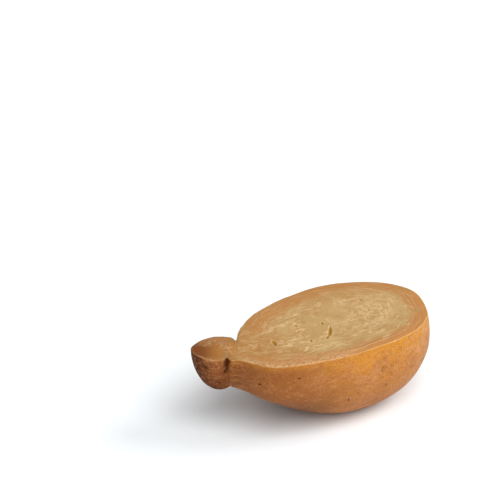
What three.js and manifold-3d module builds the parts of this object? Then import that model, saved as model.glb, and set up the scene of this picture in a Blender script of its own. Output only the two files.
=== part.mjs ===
// Caciocavallo, a hand-formed stretched-curd cheese, halved lengthwise and lying on its round
// back with the cut face up. One solid: the pear-shaped body, the tie groove round its neck and
// the small head that leans to one side. Millimetres, +X along the body away from the head, +Z up.
// The shape is a row of half sections carried along a bent line that lies in the cut face.

import * as THREE from "three";
import { mergeVertices } from "three/addons/utils/BufferGeometryUtils.js";
import Module from "manifold-3d";

// The line through the cut face, measured from the tip of the head.
const HEAD_LENGTH = 33; // tip of the head to the tie groove
const BODY_LENGTH = 198.8; // tie groove to the far end
const TOTAL_LENGTH = HEAD_LENGTH + BODY_LENGTH;
const HEAD_LEAN = THREE.MathUtils.degToRad(42); // the head's line against +X
const BODY_LEAN = THREE.MathUtils.degToRad(1); // the body's line against +X
const END_LEAN = THREE.MathUtils.degToRad(9.5); // the line at the far end against +X
const BEND_START = HEAD_LENGTH - 5;
const BEND_LENGTH = 53;
const END_BEND_LENGTH = 34;

// A lobe rises as an arch to its peak: 2 and 2 make it an ellipse, a higher power makes it
// blunter and a higher root makes its wall steeper.
const HEAD_WIDTH = { peak: 20.2, at: 19.7, power: 1.7, root: 1.5 };
const HEAD_DEPTH = { peak: 34.5, at: 25.2, power: 2.3, root: 1.85 };
const HEAD_SPREAD = 0.12; // share by which the head stands wider inside the bend
const BODY_WIDTH = { peak: 60.9, at: HEAD_LENGTH + 121, power: 2.04, root: 1.78 };
const BODY_DEPTH = { peak: 75, at: HEAD_LENGTH + 112, power: 1.97, root: 2.65 };

// Between the lobes. Widths are half widths of the cut face, depths are measured down from it.
const NECK_WIDTH = 17.8;
const NECK_DEPTH = 32;
const NECK_TURN = 2.2; // power by which the head narrows towards the neck
const BELLY_FULLNESS = 2.64; // power by which the belly flattens out below the body
const BELLY_HOLLOW = 1.8; // above 1 the belly leaves the neck in a hollow curve
const SHOULDER_BULGE = 7.4; // how far the shoulder inside the bend stands proud
const SHOULDER_AT = HEAD_LENGTH + 11.4;
const SHOULDER_REACH = 18.2;
const SHOULDER_RISE = 4.7; // length over which the shoulder rises beside the tie
const SHOULDER_DIP = 2.65; // how far the rim behind the shoulder is drawn in
const DIP_AT = HEAD_LENGTH + 33;
const DIP_REACH = 20;
const FLANK_HOLLOW = 7.8; // how far the flank outside the bend is drawn in beside the tie
const FLANK_AT = HEAD_LENGTH + 10.2;
const FLANK_REACH = 7;
const FLANK_RISE = 8;

// Sections: 2 is half an ellipse, more is squarer.
const HEAD_SECTION = 2.2;
const BODY_SECTION = 2.9;
const SECTION_CHANGE = 20; // length over which the one turns into the other
const SWELL = 0.065; // share by which the belly stands wider than its rim

// The groove pressed in by the string that the cheese hung from.
const GROOVE_DEPTH = 3.2; // at the cut face
const GROOVE_DEPTH_UNDER = 0.3; // under the neck
const GROOVE_FADE = 6; // power by which the groove runs out towards the underside
const GROOVE_REACH = 2.4;
const GROOVE_BOW = 2.1; // how far it bows towards the head half way down, outside the bend
const GROOVE_SKEW = 4; // how far the groove runs ahead inside the bend, and behind outside it
const GROOVE_SKEW_REACH = 12;

// Hand-formed unevenness of the rind: waves along the cheese (radians per millimetre) and round it.
const LUMP_HEIGHT = 0.5;
const LUMPS = [
  { share: 1, along: 0.062, start: 1.3, round: 2, turn: 0.6 },
  { share: 0.6, along: 0.113, start: -0.8, round: 3, turn: 2.7 },
  { share: 0.4, along: 0.19, start: 2.2, round: 1, turn: 1.6 },
];

const FOOT_CUT = 1; // how much of the round belly is pressed flat where it rests

// Slits in the cut face, placed along and across the body's line from the groove. Each is turned
// (degrees) so that it narrows towards that direction.
const SLITS = [
  { along: 82.4, across: -28.6, turn: 43, length: 20, width: 2.6, deep: 6, taper: 0.6 },
  { along: 71.6, across: -36.2, turn: 32, length: 7, width: 2.2, deep: 3, taper: 0.3 },
  { along: 31.4, across: -16.1, turn: -117, length: 13.5, width: 2.8, deep: 4.5, taper: 0.5 },
];

// How finely the surfaces are divided.
const STATIONS_HEAD = 18;
const STATIONS_BODY = 54;
const STEPS_AROUND = 40;
const SPINE_STEPS = 400;
const SLIT_SEGMENTS = [20, 12];
const WELD = 1e-4;

const SLAB = 20; // thickness of the block that cuts the flat spot
const RIND_COLOUR = 0xc58a4c;

const wasm = await Module();
wasm.setup();

const { clamp, degToRad, lerp, smoothstep } = THREE.MathUtils;

/** A bell-shaped hump, 1 at its centre. */
const bell = (s, centre, reach) => Math.exp(-(((s - centre) / reach) ** 2));

/** A lobe's size at the distance t from its peak, where t = 1 is its far edge. */
const arch = ({ peak, power, root }, t) => peak * (1 - clamp(t, 0, 1) ** power) ** (1 / root);

/** The spine's points and headings, from the tip of the head; the groove is at (0, 0). */
function bentSpine() {
  const points = [{ x: 0, y: 0, heading: -HEAD_LEAN }];
  const step = TOTAL_LENGTH / SPINE_STEPS;
  for (let i = 1; i <= SPINE_STEPS; i++) {
    const s = (i - 0.5) * step;
    const onBody = smoothstep(s, BEND_START, BEND_START + BEND_LENGTH);
    const atEnd = smoothstep(s, TOTAL_LENGTH - END_BEND_LENGTH, TOTAL_LENGTH);
    const heading = -lerp(lerp(HEAD_LEAN, BODY_LEAN, onBody), END_LEAN, atEnd);
    const last = points[i - 1];
    const x = last.x + step * Math.cos(heading);
    const y = last.y + step * Math.sin(heading);
    points.push({ x, y, heading });
  }
  const origin = spineAt(points, HEAD_LENGTH);
  return points.map(({ x, y, heading }) => ({ x: x - origin.x, y: y - origin.y, heading }));
}

/** The spine's point and heading at the distance s from the tip of the head. */
function spineAt(points, s) {
  const place = (clamp(s, 0, TOTAL_LENGTH) / TOTAL_LENGTH) * SPINE_STEPS;
  const i = Math.min(Math.floor(place), SPINE_STEPS - 1);
  const mix = (key) => lerp(points[i][key], points[i + 1][key], place - i);
  return { x: mix("x"), y: mix("y"), heading: mix("heading") };
}

/** The head's half width or depth: an arch up from the tip, then a curve down to the neck. */
function headSize(s, lobe, neck) {
  if (s < lobe.at) return arch(lobe, 1 - s / lobe.at);
  return lerp(lobe.peak, neck, ((s - lobe.at) / (HEAD_LENGTH - lobe.at)) ** NECK_TURN);
}

/** The body's half width or depth from its peak to the far end. */
const endSize = (s, lobe) => arch(lobe, (s - lobe.at) / (TOTAL_LENGTH - lobe.at));

/** Half width of the cut face. Near the neck the body is an ellipse that starts at the neck. */
function halfWidth(s, side) {
  const peak = HEAD_WIDTH.peak * (1 + HEAD_SPREAD * Math.max(side, 0));
  if (s < HEAD_LENGTH) return headSize(s, { ...HEAD_WIDTH, peak }, NECK_WIDTH);
  if (s > BODY_WIDTH.at) return endSize(s, BODY_WIDTH);
  const t = (BODY_WIDTH.at - s) / (BODY_WIDTH.at - HEAD_LENGTH);
  return Math.hypot(BODY_WIDTH.peak * Math.sqrt(1 - t ** 2), NECK_WIDTH * t ** 2);
}

/** Depth of the belly below the cut face. It leaves the neck in a hollow curve, as a pear does. */
function depth(s) {
  if (s < HEAD_LENGTH) return headSize(s, HEAD_DEPTH, NECK_DEPTH);
  if (s > BODY_DEPTH.at) return endSize(s, BODY_DEPTH);
  const t = (BODY_DEPTH.at - s) / (BODY_DEPTH.at - HEAD_LENGTH);
  return lerp(NECK_DEPTH, BODY_DEPTH.peak, (1 - t ** BELLY_FULLNESS) ** BELLY_HOLLOW);
}

/** How far the tie groove lies below the lobes on its two sides; side is 1 or -1 at the rims. */
function groove(s, side, down) {
  const bow = side < 0 ? GROOVE_BOW * 4 * down * (1 - down) : 0;
  const deep = lerp(GROOVE_DEPTH_UNDER, GROOVE_DEPTH, side ** GROOVE_FADE);
  return deep * bell(s, HEAD_LENGTH - bow, GROOVE_REACH);
}

/** How far the rim is pushed over beside the tie: the shoulder inside the bend stands proud, with
    a dip behind it, and the flank outside the bend is drawn in. */
function shoulderPush(s, side) {
  const rise = (length) => smoothstep(s, HEAD_LENGTH, HEAD_LENGTH + length);
  const bulge = SHOULDER_BULGE * bell(s, SHOULDER_AT, SHOULDER_REACH);
  const shoulder = (bulge - SHOULDER_DIP * bell(s, DIP_AT, DIP_REACH)) * rise(SHOULDER_RISE);
  const hollow = FLANK_HOLLOW * bell(s, FLANK_AT, FLANK_REACH) * rise(FLANK_RISE);
  return shoulder * Math.max(side, 0) + hollow * Math.max(-side, 0);
}

/** Low lumps of the rind, strongest in the middle and none at the two ends. */
function lump(s, angle) {
  const waves = LUMPS.map(({ share, along, start, round, turn }) => {
    return share * Math.sin(along * s + start) * Math.sin(round * angle + turn);
  });
  const height = LUMP_HEIGHT * Math.sin((Math.PI * s) / TOTAL_LENGTH);
  return height * waves.reduce((sum, wave) => sum + wave);
}

/** A point of the rind: angle 0 is the rim inside the bend, PI the rim outside it. */
function rindPoint(spine, station, angle) {
  const at = spineAt(spine, station);
  const skew = GROOVE_SKEW * Math.cos(angle) * bell(station, HEAD_LENGTH, GROOVE_SKEW_REACH);
  const s = station - skew;
  const sectionChange = smoothstep(s, HEAD_LENGTH, HEAD_LENGTH + SECTION_CHANGE);
  const power = lerp(HEAD_SECTION, BODY_SECTION, sectionChange);
  const side = Math.sign(Math.cos(angle)) * Math.abs(Math.cos(angle)) ** (2 / power);
  const down = Math.sin(angle) ** (2 / power);
  const uneven = lump(s, angle) - groove(s, side, down);
  const drop = Math.max(depth(s) + uneven, 0) * down;
  const onBody = smoothstep(s, HEAD_LENGTH, BODY_WIDTH.at);
  const swell = SWELL * onBody * Math.sin((Math.PI * drop) / BODY_DEPTH.peak);
  const halfSpan = Math.max(halfWidth(s, side) + uneven, 0) * (1 + swell);
  const across = halfSpan * side + shoulderPush(s, side);
  const along = swell * Math.max(s - BODY_WIDTH.at, 0);
  return new THREE.Vector3(
    at.x + along * Math.cos(at.heading) - across * Math.sin(at.heading),
    at.y + along * Math.sin(at.heading) + across * Math.cos(at.heading),
    -drop,
  );
}

/** Stations between the two ends, close together at the tip, the groove and the far end. */
function innerStations() {
  const eased = (from, length, count) => {
    const shares = Array.from({ length: count }, (_, i) => (1 - Math.cos((Math.PI * i) / count)) / 2);
    return shares.map((share) => from + length * share);
  };
  const head = eased(0, HEAD_LENGTH, STATIONS_HEAD);
  return [...head.slice(1), ...eased(HEAD_LENGTH, BODY_LENGTH, STATIONS_BODY)];
}

/** The half cheese as one closed surface: sections joined by strips, a fan at each end. */
function halfCheese() {
  const spine = bentSpine();
  const sections = innerStations();
  const ring = STEPS_AROUND + 1;
  const angles = Array.from({ length: ring }, (_, j) => (Math.PI * j) / STEPS_AROUND);
  const points = sections.flatMap((s) => angles.map((angle) => rindPoint(spine, s, angle)));
  const [tip, end] = [0, TOTAL_LENGTH].map((s) => {
    const { x, y } = spineAt(spine, s);
    return points.push(new THREE.Vector3(x, y, 0)) - 1;
  });
  const lastRow = (sections.length - 1) * ring;
  const index = [];
  for (let j = 0; j < ring; j++) {
    const next = (j + 1) % ring; // the last strip of each row crosses the cut face
    index.push(tip, j, next, end, lastRow + next, lastRow + j);
    for (let row = 0; row < lastRow; row += ring) {
      const [a, b, c, d] = [row + j, row + next, row + ring + j, row + ring + next];
      index.push(a, c, b, b, c, d);
    }
  }
  return new THREE.BufferGeometry().setFromPoints(points).setIndex(index);
}

/** A tool for one slit: an egg centred on the cut face, pointed towards one end. */
function slitTool({ along, across, turn, length, width, deep, taper }) {
  const egg = new THREE.SphereGeometry(1, ...SLIT_SEGMENTS);
  const place = egg.attributes.position;
  for (let i = 0; i < place.count; i++) {
    place.setY(i, place.getY(i) * (1 - taper * place.getX(i)));
  }
  egg.scale(length / 2, width / 2, deep);
  egg.rotateZ(degToRad(turn));
  return egg.translate(along, across, 0);
}

/** A block that holds everything lower than the flat spot. */
function footTool() {
  const size = 2 * TOTAL_LENGTH;
  const top = FOOT_CUT - BODY_DEPTH.peak;
  return new THREE.BoxGeometry(size, size, SLAB).translate(0, 0, top - SLAB / 2);
}

/** A closed geometry as a manifold-3d solid. */
function solidOf(geometry) {
  geometry.deleteAttribute("normal");
  geometry.deleteAttribute("uv");
  const welded = mergeVertices(geometry, WELD);
  const corners = Array.from(welded.index.array);
  const triangles = [];
  for (let i = 0; i < corners.length; i += 3) {
    const [a, b, c] = corners.slice(i, i + 3);
    if (a !== b && b !== c && c !== a) triangles.push(a, b, c);
  }
  const vertProperties = welded.attributes.position.array;
  const triVerts = new Uint32Array(triangles);
  return new wasm.Manifold(new wasm.Mesh({ numProp: 3, vertProperties, triVerts }));
}

/** A manifold-3d solid as a three.js geometry. */
function geometryOf(solid) {
  const { vertProperties, triVerts } = solid.getMesh();
  const geometry = new THREE.BufferGeometry();
  geometry.setAttribute("position", new THREE.BufferAttribute(vertProperties, 3));
  geometry.setIndex(new THREE.BufferAttribute(triVerts, 1));
  geometry.computeVertexNormals();
  return geometry;
}

/** Moves the geometry so that it stands on z = 0 with its box centred on the Z axis. */
function standAtOrigin(geometry) {
  geometry.computeBoundingBox();
  const { min, max } = geometry.boundingBox;
  return geometry.translate(-(min.x + max.x) / 2, -(min.y + max.y) / 2, -min.z);
}

const tools = [footTool(), ...SLITS.map(slitTool)];
const cheese = tools.reduce((solid, tool) => solid.subtract(solidOf(tool)), solidOf(halfCheese()));

const rind = new THREE.MeshStandardMaterial({ color: RIND_COLOUR, roughness: 0.5, metalness: 0 });
const mesh = new THREE.Mesh(standAtOrigin(geometryOf(cheese)), rind);
mesh.name = "cheese_half";

const group = new THREE.Group();
group.add(mesh);

export default group;
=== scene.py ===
import itertools
import math
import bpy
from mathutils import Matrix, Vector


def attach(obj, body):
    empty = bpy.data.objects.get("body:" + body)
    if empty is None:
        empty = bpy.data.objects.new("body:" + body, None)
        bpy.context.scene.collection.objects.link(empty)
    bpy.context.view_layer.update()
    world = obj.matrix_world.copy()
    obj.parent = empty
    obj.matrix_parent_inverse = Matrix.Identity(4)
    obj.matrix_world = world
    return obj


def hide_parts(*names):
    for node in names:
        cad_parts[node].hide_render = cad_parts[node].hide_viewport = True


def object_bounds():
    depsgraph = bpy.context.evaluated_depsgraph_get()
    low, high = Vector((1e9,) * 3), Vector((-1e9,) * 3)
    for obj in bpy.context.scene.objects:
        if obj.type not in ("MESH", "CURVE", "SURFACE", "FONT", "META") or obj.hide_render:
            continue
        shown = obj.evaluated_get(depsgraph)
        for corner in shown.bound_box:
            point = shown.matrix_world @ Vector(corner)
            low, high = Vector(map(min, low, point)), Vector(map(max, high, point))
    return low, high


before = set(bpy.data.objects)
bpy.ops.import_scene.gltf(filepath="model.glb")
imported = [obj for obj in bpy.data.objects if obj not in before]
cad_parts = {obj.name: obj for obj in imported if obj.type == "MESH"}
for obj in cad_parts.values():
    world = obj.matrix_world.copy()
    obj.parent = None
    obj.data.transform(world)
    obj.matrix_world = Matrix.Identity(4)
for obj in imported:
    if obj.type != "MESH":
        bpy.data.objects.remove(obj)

from types import SimpleNamespace

import bpy
import numpy as np
from bpy.props import FloatProperty, FloatVectorProperty, IntProperty, PointerProperty
from mathutils import Vector

bl_info = {
    "name": "Halved caciocavallo",
    "version": (1, 0, 0),
    "blender": (4, 5, 0),
    "location": "View3D > Sidebar > Caciocavallo",
    "description": "Makes half a caciocavallo, cut lengthwise, with its rind, paste and studio",
    "category": "Add Mesh",
}

SOLID = "cheese_half"
SOLID_LOW, SOLID_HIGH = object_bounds()
SOLID_CENTRE = (SOLID_LOW + SOLID_HIGH) / 2
MILLIMETRE = 0.001

# The outline's finer sizes, in millimetres. "Along" is measured from the tip of the head along
# the middle line of the cut face, and "across" from that line, away from the near side.
HEAD_WIDEST = 19.7
HEAD_DEEPEST = 25.2
HEAD_WIDTH_CURVE = (1.7, 1.5)
HEAD_DEPTH_CURVE = (2.3, 1.85)
HEAD_SPREAD = 0.12
NECK_TURN = 2.2
BODY_WIDEST = 121
BODY_DEEPEST = 112
END_WIDTH_CURVE = (2.04, 1.78)
END_DEPTH_CURVE = (1.97, 2.65)
BELLY_FULLNESS = 2.64
BELLY_HOLLOW = 1.8
BEND_BEFORE_NECK = 5
BEND_LENGTH = 53
END_BEND_LENGTH = 34
SHOULDER = SimpleNamespace(bulge=7.4, at=11.4, reach=18.2, rise=4.7)
DIP = SimpleNamespace(deep=2.65, at=33, reach=20)
FLANK = SimpleNamespace(hollow=7.8, at=10.2, reach=7, rise=8)
HEAD_SECTION = 2.2
BODY_SECTION = 2.9
SECTION_CHANGE = 20
SWELL = 0.065
GROOVE_REACH = 2.4
GROOVE_UNDER = 0.3
GROOVE_FADE = 6
GROOVE_BOW = 2.1
GROOVE_SKEW = 4
GROOVE_SKEW_REACH = 12
# Long waves of the outline: share of the height, rate along in radians per millimetre, start,
# waves over the turn and their shift.
LUMP_HEIGHT = 0.5
LUMPS = ((1.0, 0.062, 1.3, 2, 0.6), (0.6, 0.113, -0.8, 3, 2.7), (0.4, 0.19, 2.2, 1, 1.6))

# The rims in millimetres: how far they are rounded over and bitten, how far they drop, how far
# from the rim each of these reaches, and what the ragged stretch adds.
RIM_FADE = 4
RIM_WORN = 0.14
RIM_WORN_REACH = 0.45
NEAR_RIM_DROP = 0.2
NEAR_RIM_DROP_REACH = 1.1
FAR_RIM_DROP = 0.18
FAR_RIM_DROP_REACH = 0.5
RIM_BITE = 0.2
RIM_BITE_REACH = 2.2
RAGGED = SimpleNamespace(worn=0.22, bite=0.35, nick=0.5, drop=0.35, crumble=0.4)

# Sample counts of the middle line, the stations, the rows and a strip of rim points, and how
# much closer the stations lie in the head and neck, up to a place along, and about the slits.
LINE_STEPS = 801
STATION_STEPS = 3001
ROW_STEPS = 2001
RIM_STRIP = 60
CLOSER_HEAD = SimpleNamespace(more=0.7, full=38, gone=62)
CLOSER_SLITS = SimpleNamespace(more=0.35, at=95, reach=32)
# Distances of the closest rows from a rim, in millimetres.
EDGE_ROWS = np.array([0.0, 0.14, 0.36, 0.72, 1.25, 2.0])

# Heights in millimetres of the rind's and the cut face's relief, and of the cracks' depth.
RIND_RELIEF = SimpleNamespace(broad=0.34, gentle=0.12, lines=0.07, wrinkles=0.3, folds=0.4,
                              pleats=0.5)
FACE_RELIEF = SimpleNamespace(broad=0.3, gentle=0.12, streaks=0.07, flakes=0.25, hollows=0.3,
                              lips=0.22)
CRACK_DEPTH = 1.1
CRACK_REACH = 0.6
# How far noise frays the openings' edges, over what width, and where their lips stand.
FRAY = 0.65
FRAY_WIDTH = 1.9
LIP_AWAY = 0.7
LIP_REACH = 0.8
# The ring under the rind: its width, and how much wider it is at the far side and blunt end.
RING_WIDTH = 12
RING_WIDER_FAR = 9
RING_WIDER_END = 5
# Where along the ragged stretch of the near rim comes in, and where it fades out again.
RAGGED_START = (36, 46)
RAGGED_END = (86, 116)

# The floor's half side and the camera's aim from the solid's centre in metres, and the floor's
# colour, a little cool.
FLOOR_HALF = 6.0
FLOOR_TINT = (0.945, 0.98, 1.0)
AIM = Vector((-0.02076, 0.0666, 0.0899))

# Openings of the cut face: x, y, turn in degrees, length, width, depth and taper. They lie in
# the frame of the neck's middle, with x along the body's middle line.
SLITS = (
    (82.4, -28.6, 43, 19, 2.6, 1.5, -0.7),
    (71.6, -36.2, 32, 7, 2.4, 1.2, 0.3),
    (31.6, -15.9, -117, 12, 3.0, 1.5, -0.5),
    (87.0, -14.9, 58, 5.5, 2.2, 1.2, 0.4),
    (67.2, -3.7, 66, 5.0, 2.0, 1.3, 0.2),
    (60.5, -13.2, 40, 3.4, 2.0, 1.3, 0.1),
    (57.4, -31.5, 55, 4.4, 2.2, 1.3, 0.1),
    (144.1, -49.5, 20, 3.0, 2.0, 1.2, 0.1),
    (111.0, -25.2, 30, 2.6, 1.6, 1.0, 0.1),
    (49.8, 18.4, 10, 5.0, 1.0, 0.6, 0.3),
)
# Fine cracks of the cut face, each a run of points.
CRACKS = (
    ((67.2, -3.9), (60.5, -13.2), (59.7, -18.8), (58.2, -26.1), (56.8, -32.2)),
    ((148.7, -21.0), (143.3, -29.9), (141.1, -34.7), (136.0, -41.0)),
    ((141.3, -14.4), (137.0, -20.5), (133.9, -27.0)),
    ((29.8, -20.0), (27.6, -24.5)),
    ((153.0, 18.0), (157.5, 8.0), (158.0, -8.0)),
    ((112.0, -20.0), (118.0, -23.5), (123.0, -22.0)),
)
# Places where the paste tore into flakes: x, y, half length, half width, turn in degrees, share.
TORN = (
    (142, -27, 15, 12, 60, 1.0),
    (150, -6, 9, 12, 80, 0.7),
    (41, -26, 8, 6, -40, 0.9),
    (57, -45, 9, 4, -15, 0.7),
    (168, -16, 4, 15, 0, 0.7),
    (112, 10, 22, 7, -8, 0.6),
    (84, 13, 16, 4, -12, 0.6),
    (118, -45, 14, 5, 15, 0.6),
    (46, 8, 14, 4, -8, 0.6),
    (-4, 5, 7, 11, 40, 0.9),
    (24, 24, 11, 5, 40, 0.8),
    (95, -30, 8, 8, 0, 0.5),
    (133, -23, 3, 2, 60, 1.0),
    (105, -54, 4, 2.5, 20, 1.0),
    (113, -58, 4, 2, 20, 1.0),
    (117, -37, 7, 2, 30, 1.0),
    (108, -67, 5, 1.5, 10, 1.0),
    (142, -61, 6, 2, 40, 1.0),
    (166, -40, 3, 7, 0, 1.0),
    (90, -49, 9, 2, 10, 0.9),
    (97, -40, 12, 6, 20, 0.5),
)
# Pits of the rind: along, angle in degrees from the far rim, half length, half height, depth.
PITS = (
    (48.6, 153.2, 1.0, 1.2, 1.1),
    (45.6, 156.8, 0.8, 0.8, 0.4),
    (50.0, 163.0, 1.6, 0.8, 0.35),
    (65.2, 165.6, 0.9, 0.9, 0.8),
    (131.2, 163.7, 0.9, 1.1, 0.45),
    (132.3, 165.1, 0.9, 1.0, 0.45),
    (109.0, 151.8, 1.0, 0.9, 0.4),
    (102.9, 146.1, 1.0, 1.1, 0.7),
    (137.4, 152.2, 1.2, 1.0, 0.45),
    (169.8, 158.3, 1.2, 0.9, 0.3),
    (86.0, 138.5, 1.2, 1.0, 0.4),
    (12.6, 165.4, 1.6, 1.4, 0.8),
    (27.6, 155.4, 1.3, 1.9, 1.0),
    (7.0, 159.8, 1.2, 1.4, 0.5),
    (23.2, 140.7, 2.2, 1.3, 0.8),
    (19.3, 126.8, 1.8, 1.6, 0.8),
    (8.3, 122.4, 1.3, 1.5, 0.7),
)
# Pits scattered over the far side and underneath, and the ranges that each entry is drawn from.
SCATTERED_PITS = 46
PIT_RANGES = ((36, 222), (8, 138), (0.8, 2.0), (0.7, 1.2), (0.15, 0.45))
# Millimetres of girth to a radian of turn, for the pits and patches.
GIRTH = 48
# Golden patches, and worn ones that are paler and pinker: along, angle in degrees from the far
# rim, half length, half height, share.
GOLDEN = (
    (115, 176.5, 10, 4, 0.8),
    (124, 175.0, 7, 4, 0.9),
    (148, 174.0, 13, 7, 0.8),
    (119, 156.0, 8, 6, 0.7),
    (90, 173.0, 12, 6, 0.6),
)
WORN = (
    (78, 159.0, 12, 7, 0.8),
    (98, 168.5, 7, 5, 0.9),
    (111, 162.0, 9, 5, 0.9),
    (124, 161.0, 5, 5, 1.0),
    (70, 150.0, 14, 6, 0.5),
    (101, 148.0, 9, 5, 0.8),
    (172, 171.0, 6, 9, 0.3),
    (174, 161.0, 9, 9, 0.25),
    (160, 166.0, 8, 6, 0.5),
    (107, 167.0, 6, 5, 0.6),
    (52, 151.0, 9, 6, 0.6),
)


def tone(red, green, blue):
    """A linear colour from screen values of 0 to 255."""
    shares = np.array((red, green, blue)) / 255
    return tuple(np.where(shares > 0.04045, ((shares + 0.055) / 1.055) ** 2.4, shares / 12.92))


def length(name, millimetres, description):
    """A length property in metres with its default given in millimetres."""
    return FloatProperty(name=name, description=description, default=millimetres * MILLIMETRE,
                         min=0.0, precision=4, subtype="DISTANCE", unit="LENGTH")


def angle(name, degrees, description):
    """An angle property with its default given in degrees."""
    return FloatProperty(name=name, description=description, default=math.radians(degrees),
                         subtype="ANGLE", unit="ROTATION")


def colour(name, screen, description):
    """A colour property with its default given in screen values."""
    return FloatVectorProperty(name=name, description=description, default=tone(*screen),
                               size=3, min=0.0, max=1.0, subtype="COLOR")


def number(name, default, description, most=1.0):
    """A plain number property that runs from nothing to a greatest value."""
    return FloatProperty(name=name, description=description, default=default, min=0.0, max=most)


class CheeseSizes(bpy.types.PropertyGroup):
    """Lengths and leans of the half, and how fine its skin is"""

    head_length: length("Head length", 33, "From the tip of the head to the string groove")
    body_length: length("Body length", 198.8, "From the string groove to the far end")
    head_width: length("Head half width", 20.2, "Half the head's greatest width")
    head_depth: length("Head depth", 34.5, "The head's depth below the cut face")
    neck_width: length("Neck half width", 17.8, "Half the neck's width at the groove")
    neck_depth: length("Neck depth", 32, "The neck's depth at the groove")
    body_width: length("Body half width", 60.9, "Half the body's greatest width")
    body_depth: length("Body depth", 75, "The belly's depth before the foot is flattened")
    groove_depth: length("Groove depth", 3.2, "How far the string pressed into the rim")
    head_lean: angle("Head lean", 42, "How far the head turns off the body's line")
    body_lean: angle("Body lean", 1, "The body's own lean")
    end_lean: angle("End lean", 9.5, "How far the far end turns")
    stations: IntProperty(name="Stations", description="Sections along the cheese", default=364,
                          min=60, max=600)
    rind_rows: IntProperty(name="Rind rows", description="Points round each section's rind",
                           default=120, min=40, max=300)
    face_rows: IntProperty(name="Face rows", description="Points across each section's cut face",
                           default=138, min=40, max=300)


class CheeseColours(bpy.types.PropertyGroup):
    """Colours of the cut face and the rind"""

    paste: colour("Paste", (181, 149, 97), "The cut face's middle")
    rim_cream: colour("Ragged rim", (206, 174, 132), "The torn, drier stretch of the cut edge")
    paste_warm: colour("Warm paste", (173, 136, 84), "Warmer clouds in the paste")
    ring: colour("Ring", (170, 115, 58), "The firmer ring under the rind")
    ring_near: colour("Near ring", (176, 121, 69), "The ring's paler, pinker near side")
    ring_edge: colour("Ring edge", (186, 126, 64), "The orange strip just inside the near rim")
    ring_line: colour("Ring lines", (196, 146, 96), "Pale, pinkish lines in the ring")
    neck: colour("Neck paste", (160, 104, 42), "The paste near the neck")
    head: colour("Head paste", (112, 57, 10), "The dried middle of the head's cut face")
    head_pale: colour("Pale head paste", (138, 93, 56), "The flaky paste at the head's far side")
    flake: colour("Flakes", (220, 188, 142), "Torn flakes and streaks")
    # Along the near rim the pale cut edge is partly painted highlight; the same colour makes pale
    # flecks on the rind.
    rim: colour("Rim", (214, 166, 104), "The cut edge of the rind")
    # Painted shade inside the slits and cracks; the same colour makes the paste's dark specks.
    crevice: colour("Crevices", (162, 118, 40), "The inside of slits and holes")
    rind: colour("Rind", (178, 116, 54), "The rind's main colour")
    rind_bright: colour("Bright rind", (196, 130, 42), "The orange band below the rim")
    # Laid towards the neck, partly as painted shade on the side turned from the lights.
    rind_neck: colour("Neck rind", (133, 74, 32), "The browner rind towards the neck")
    rind_brown: colour("Brown rind", (120, 68, 34), "Brown clouds on the rind")
    # Also laid low on the belly's far part, partly as painted shade underneath.
    rind_pink: colour("Pink rind", (169, 104, 56), "Paler, pinker clouds low on the rind")
    rind_gold: colour("Golden rind", (194, 129, 30), "Golden patches on the rind")
    rind_veil: colour("Rind veil", (188, 131, 88), "Pale, dull film in patches on the rind")
    # Also laid as painted shade under the neck, down the head's underside and just behind the
    # string groove.
    head_rind: colour("Head rind", (84, 42, 12), "The head's darker rind")
    # Painted shade in the rind's pits.
    pit: colour("Pits", (72, 32, 8), "The inside of the rind's pits")
    # Painted shade in the string groove; the same colour makes dark dabs on the head.
    groove: colour("Groove", (80, 38, 12), "The string groove")


class StudioSettings(bpy.types.PropertyGroup):
    """Camera, lights and floor"""

    view_azimuth: angle("View azimuth", -42, "Where the camera stands round the cheese")
    view_elevation: angle("View elevation", 22, "How high the camera stands")
    view_distance: length("View distance", 996.7, "From the camera to the point it looks at")
    lens: FloatProperty(name="Lens", description="The camera's focal length in millimetres",
                        default=85.0, min=20.0, max=200.0, unit="CAMERA")
    key_azimuth: angle("Key azimuth", -20, "Where the key light stands round the cheese")
    key_elevation: angle("Key elevation", 50, "How high the key light stands")
    key_width: angle("Key width", 55, "The key light's width in the sky, which softens shadows")
    key_strength: number("Key strength", 2.6, "The key light's power", 20.0)
    side_azimuth: angle("Side azimuth", 55, "Where the side light stands round the cheese")
    side_elevation: angle("Side elevation", 40, "How high the side light stands")
    side_width: angle("Side width", 30, "The side light's width in the sky")
    side_strength: number("Side strength", 1.2, "The side light's power", 20.0)
    sky_strength: number("Sky strength", 0.4, "The white surroundings' light", 5.0)
    floor: number("Floor", 0.9, "How much of the light the floor sends back")


# ---- curves and noise


def smooth(value, start, end):
    """Rises from 0 to 1 between start and end, as 3t^2 - 2t^3 of the share t of the way."""
    t = np.clip((value - start) / (end - start), 0, 1)
    return t * t * (3 - 2 * t)


def bell(value, centre, reach):
    """exp(-((value - centre) / reach)^2)."""
    return np.exp(-(((value - centre) / reach) ** 2))


def arch(peak, curve, t):
    """peak (1 - t^power)^(1 / root): a rounded end, full at t = 0 and closed at t = 1."""
    power, root = curve
    return peak * (1 - np.clip(t, 0, 1) ** power) ** (1 / root)


# The noise's lattice: its size, a shuffle of its corners, and a direction for each.
LATTICE = 256
_rng = np.random.default_rng(1958)
SHUFFLE = _rng.permutation(LATTICE)
_directions = _rng.normal(size=(LATTICE, 3))
DIRECTIONS = _directions / np.linalg.norm(_directions, axis=1, keepdims=True)


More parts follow.
